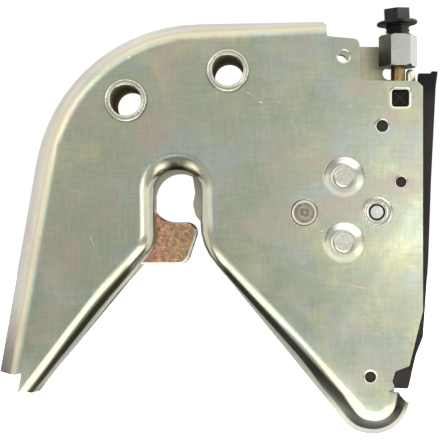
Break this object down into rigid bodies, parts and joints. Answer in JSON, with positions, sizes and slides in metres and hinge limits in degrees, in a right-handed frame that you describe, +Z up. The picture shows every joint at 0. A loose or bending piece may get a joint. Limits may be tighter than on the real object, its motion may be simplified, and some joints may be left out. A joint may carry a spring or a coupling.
{
  "type": "cab lock",
  "caption": "Tilt cab lock: flanged plate case with a pin slot, a swinging hook, two levers and a hydraulic release cylinder, its inlet closed by a plug.",
  "frame": {"origin": "on the flat back face of the rear plate, halfway between the two bolt sleeves", "axes": "+X to the right seen from the front, +Y into the frame the lock is bolted to, +Z up"},
  "size_m": [0.2207, 0.0355, 0.2134],
  "materials": {
    "front_plate": "yellow passivated zinc plate, cloudy",
    "rear_plate": "yellow passivated zinc plate",
    "mounting_sleeve_left": "yellow passivated zinc plate, turned",
    "mounting_sleeve_right": "yellow passivated zinc plate, turned",
    "spacer_rivet_upper": "passivated zinc plate, riveted over",
    "spacer_rivet_lower": "passivated zinc plate, riveted over",
    "lever_rivet": "passivated zinc plate, riveted over",
    "pin_guide_plate": "passivated zinc plate",
    "guide_rivet_upper": "passivated zinc plate",
    "guide_rivet_lower": "passivated zinc plate",
    "hook": "forged steel, passivated, pink and copper-brown clouds",
    "hook_bush": "bronze",
    "hook_spacer_front": "zinc plate",
    "hook_spacer_rear": "zinc plate",
    "hook_spring": "spring steel, oiled",
    "spring_post": "zinc plate",
    "transfer_lever": "passivated zinc plate",
    "lever_spacer_front": "zinc plate",
    "lever_spacer_rear": "zinc plate",
    "lever_spring": "spring steel, oiled",
    "release_lever": "passivated zinc plate",
    "release_shaft": "ground steel",
    "shaft_bush": "passivated zinc plate, turned",
    "shaft_seal": "black rubber",
    "drive_pin": "ground steel",
    "pin_clip": "spring steel",
    "cylinder_block": "yellow passivated zinc plate",
    "piston_rod": "ground steel",
    "piston_seal": "black rubber",
    "rod_gland": "bronze",
    "piston_spring": "spring steel",
    "inlet_neck": "yellow passivated zinc plate, golden",
    "inlet_nut": "yellow passivated zinc plate, turned",
    "sealing_washer": "black rubber",
    "transit_plug": "black moulded plastic",
    "cylinder_screw_upper": "zinc plate",
    "cylinder_screw_lower": "zinc plate",
    "side_cover": "dark moulded plastic, dusty"
  },
  "bodies": {
    "case": {"front_plate": "front_plate", "rear_plate": "rear_plate", "mounting_sleeve_left": "mounting_sleeve_left", "mounting_sleeve_right": "mounting_sleeve_right", "spacer_rivet_upper": "spacer_rivet_upper", "spacer_rivet_lower": "spacer_rivet_lower", "lever_rivet": "lever_rivet", "pin_guide_plate": "pin_guide_plate", "guide_rivet_upper": "guide_rivet_upper", "guide_rivet_lower": "guide_rivet_lower", "hook_spacer_front": "hook_spacer_front", "hook_spacer_rear": "hook_spacer_rear", "hook_spring": "hook_spring", "spring_post": "spring_post", "lever_spacer_front": "lever_spacer_front", "lever_spacer_rear": "lever_spacer_rear", "lever_spring": "lever_spring", "shaft_bush": "shaft_bush", "cylinder_block": "cylinder_block", "rod_gland": "rod_gland", "piston_spring": "piston_spring", "inlet_neck": "inlet_neck", "inlet_nut": "inlet_nut", "sealing_washer": "sealing_washer", "transit_plug": "transit_plug", "cylinder_screw_upper": "cylinder_screw_upper", "cylinder_screw_lower": "cylinder_screw_lower", "side_cover": "side_cover"},
    "hook": {"hook": "hook", "hook_bush": "hook_bush"},
    "transfer": {"transfer_lever": "transfer_lever"},
    "release": {"release_lever": "release_lever", "release_shaft": "release_shaft", "drive_pin": "drive_pin", "pin_clip": "pin_clip", "shaft_seal": "shaft_seal"},
    "piston": {"piston_rod": "piston_rod", "piston_seal": "piston_seal"}
  },
  "joints": [
    {"name": "hook_swing", "type": "hinge", "parent": "case", "child": "hook", "pos_m": [0.025, -0.0168, 0.0073], "axis": [0, 1, 0], "range_deg": [0, 19], "stiffness_Nm_per_rad": 0.8, "springref_deg": -28.65, "deforming": ["hook_spring"]},
    {"name": "transfer_turn", "type": "hinge", "parent": "case", "child": "transfer", "pos_m": [0.0625, -0.018, -0.0623], "axis": [0, 1, 0], "range_deg": [-20.22, 0], "deforming": ["lever_spring"]},
    {"name": "release_turn", "type": "hinge", "parent": "case", "child": "release", "pos_m": [0.0981, -0.0115, -0.062], "axis": [0, 1, 0], "range_deg": [0, 20.98]},
    {"name": "piston_slide", "type": "slide", "parent": "case", "child": "piston", "axis": [0, 0, -1], "range_m": [0, 0.00448], "deforming": ["piston_spring"]}
  ],
  "couplings": [
    {"joint": "transfer_turn", "follows": "hook_swing", "ratio": -1.064},
    {"joint": "release_turn", "follows": "hook_swing", "ratio": 1.1042},
    {"joint": "piston_slide", "follows": "hook_swing", "m_per_rad": 0.013505}
  ]
}
